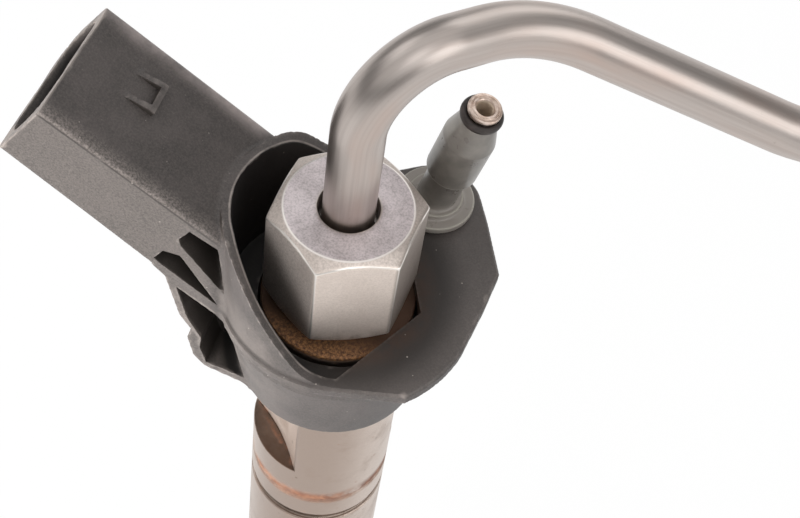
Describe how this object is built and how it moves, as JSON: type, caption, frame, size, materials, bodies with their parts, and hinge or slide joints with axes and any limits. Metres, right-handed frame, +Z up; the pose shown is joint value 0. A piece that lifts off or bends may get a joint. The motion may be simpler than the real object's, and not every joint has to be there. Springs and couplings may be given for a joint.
{
  "type": "fuel injector",
  "caption": "Piezo diesel fuel injector with a moulded connector head, leaning return nipple, hexagon union nut and bent high-pressure pipe.",
  "frame": {"origin": "on the injector's axis, in the plane of the cylinder-head seat under the copper washer", "axes": "+Z up the injector's axis towards the union nut, -X towards the electrical connector"},
  "size_m": [0.1254, 0.059, 0.2035],
  "materials": {
    "body_steel": "turned steel, warm grey with rust specks",
    "nut_steel": "satin grey steel with bright worn edges",
    "pipe_steel": "drawn satin steel with warm streaks",
    "inner_steel": "ground bright steel",
    "spring_steel": "dark spring steel",
    "head_plastic": "glass-filled black plastic, finely grained",
    "nipple_plastic": "greenish grey moulded plastic",
    "rubber": "black rubber",
    "tinned_brass": "tinned brass",
    "copper": "bare copper",
    "ceramic": "fired piezo ceramic, whose density is close to cast iron"
  },
  "bodies": {
    "injector": {"injector_body": "body_steel", "head_overmould": "head_plastic", "high_pressure_pipe": "pipe_steel", "edge_filter": "inner_steel", "return_nipple": "nipple_plastic", "nipple_bush": "tinned_brass", "nipple_o_ring": "rubber", "contact_pin_left": "tinned_brass", "contact_pin_right": "tinned_brass", "lead_left": "copper", "lead_right": "copper", "actuator_head": "inner_steel", "piezo_stack": "ceramic", "preload_sleeve": "spring_steel", "coupler_spring": "spring_steel", "coupler_cylinder": "inner_steel", "valve_plate": "inner_steel", "valve_spring": "spring_steel", "throttle_plate": "inner_steel", "dowel_pin_1": "inner_steel", "dowel_pin_2": "inner_steel", "control_sleeve": "inner_steel", "needle_spring": "spring_steel", "nozzle_body": "inner_steel", "nozzle_nut": "nut_steel", "copper_washer": "copper"},
    "pipe_ring": {"pipe_thrust_ring": "inner_steel"},
    "pipe_nut": {"union_nut": "nut_steel"},
    "rail_ring": {"rail_thrust_ring": "inner_steel"},
    "rail_nut": {"rail_union_nut": "nut_steel"},
    "needle": {"nozzle_needle": "inner_steel", "spring_shim": "inner_steel"},
    "actuator_ram": {"actuator_foot": "inner_steel", "coupler_piston": "inner_steel"},
    "servo_piston": {"valve_piston": "inner_steel"},
    "servo_bolt": {"valve_bolt": "inner_steel"}
  },
  "joints": [
    {"name": "pipe_ring_lift", "type": "slide", "parent": "injector", "child": "pipe_ring", "axis": [0, 0, 1], "range_m": [0, 0.006]},
    {"name": "pipe_nut_turn", "type": "hinge", "parent": "pipe_ring", "child": "pipe_nut", "pos_m": [0, 0, 0.15], "axis": [0, 0, 1], "range_deg": [0, 1440]},
    {"name": "rail_ring_draw", "type": "slide", "parent": "injector", "child": "rail_ring", "axis": [-0.9681, -0.2504, 0], "range_m": [0, 0.006]},
    {"name": "rail_nut_turn", "type": "hinge", "parent": "rail_ring", "child": "rail_nut", "pos_m": [0.0791, 0.03365, 0.16444], "axis": [-0.9681, -0.2504, 0], "range_deg": [0, 1440]},
    {"name": "needle_lift", "type": "slide", "parent": "injector", "child": "needle", "axis": [0, 0, 1], "range_m": [0, 0.00025], "stiffness_N_per_m": 2000, "springref_m": -0.001, "deforming": ["needle_spring"]},
    {"name": "actuator_stroke", "type": "slide", "parent": "injector", "child": "actuator_ram", "axis": [0, 0, -1], "range_m": [0, 0.00004], "stiffness_N_per_m": 5000, "springref_m": -0.0004, "deforming": ["piezo_stack", "preload_sleeve", "coupler_spring"]},
    {"name": "servo_piston_stroke", "type": "slide", "parent": "injector", "child": "servo_piston", "axis": [0, 0, -1], "range_m": [0, 0.000075]},
    {"name": "servo_bolt_stroke", "type": "slide", "parent": "injector", "child": "servo_bolt", "axis": [0, 0, -1], "range_m": [0, 0.000075], "deforming": ["valve_spring"]}
  ],
  "couplings": [
    {"joint": "pipe_ring_lift", "follows": "pipe_nut_turn", "m_per_rad": 0.00023873},
    {"joint": "rail_ring_draw", "follows": "rail_nut_turn", "m_per_rad": 0.00023873},
    {"joint": "servo_piston_stroke", "follows": "actuator_stroke", "ratio": 1.86},
    {"joint": "servo_bolt_stroke", "follows": "actuator_stroke", "ratio": 1.86}
  ]
}
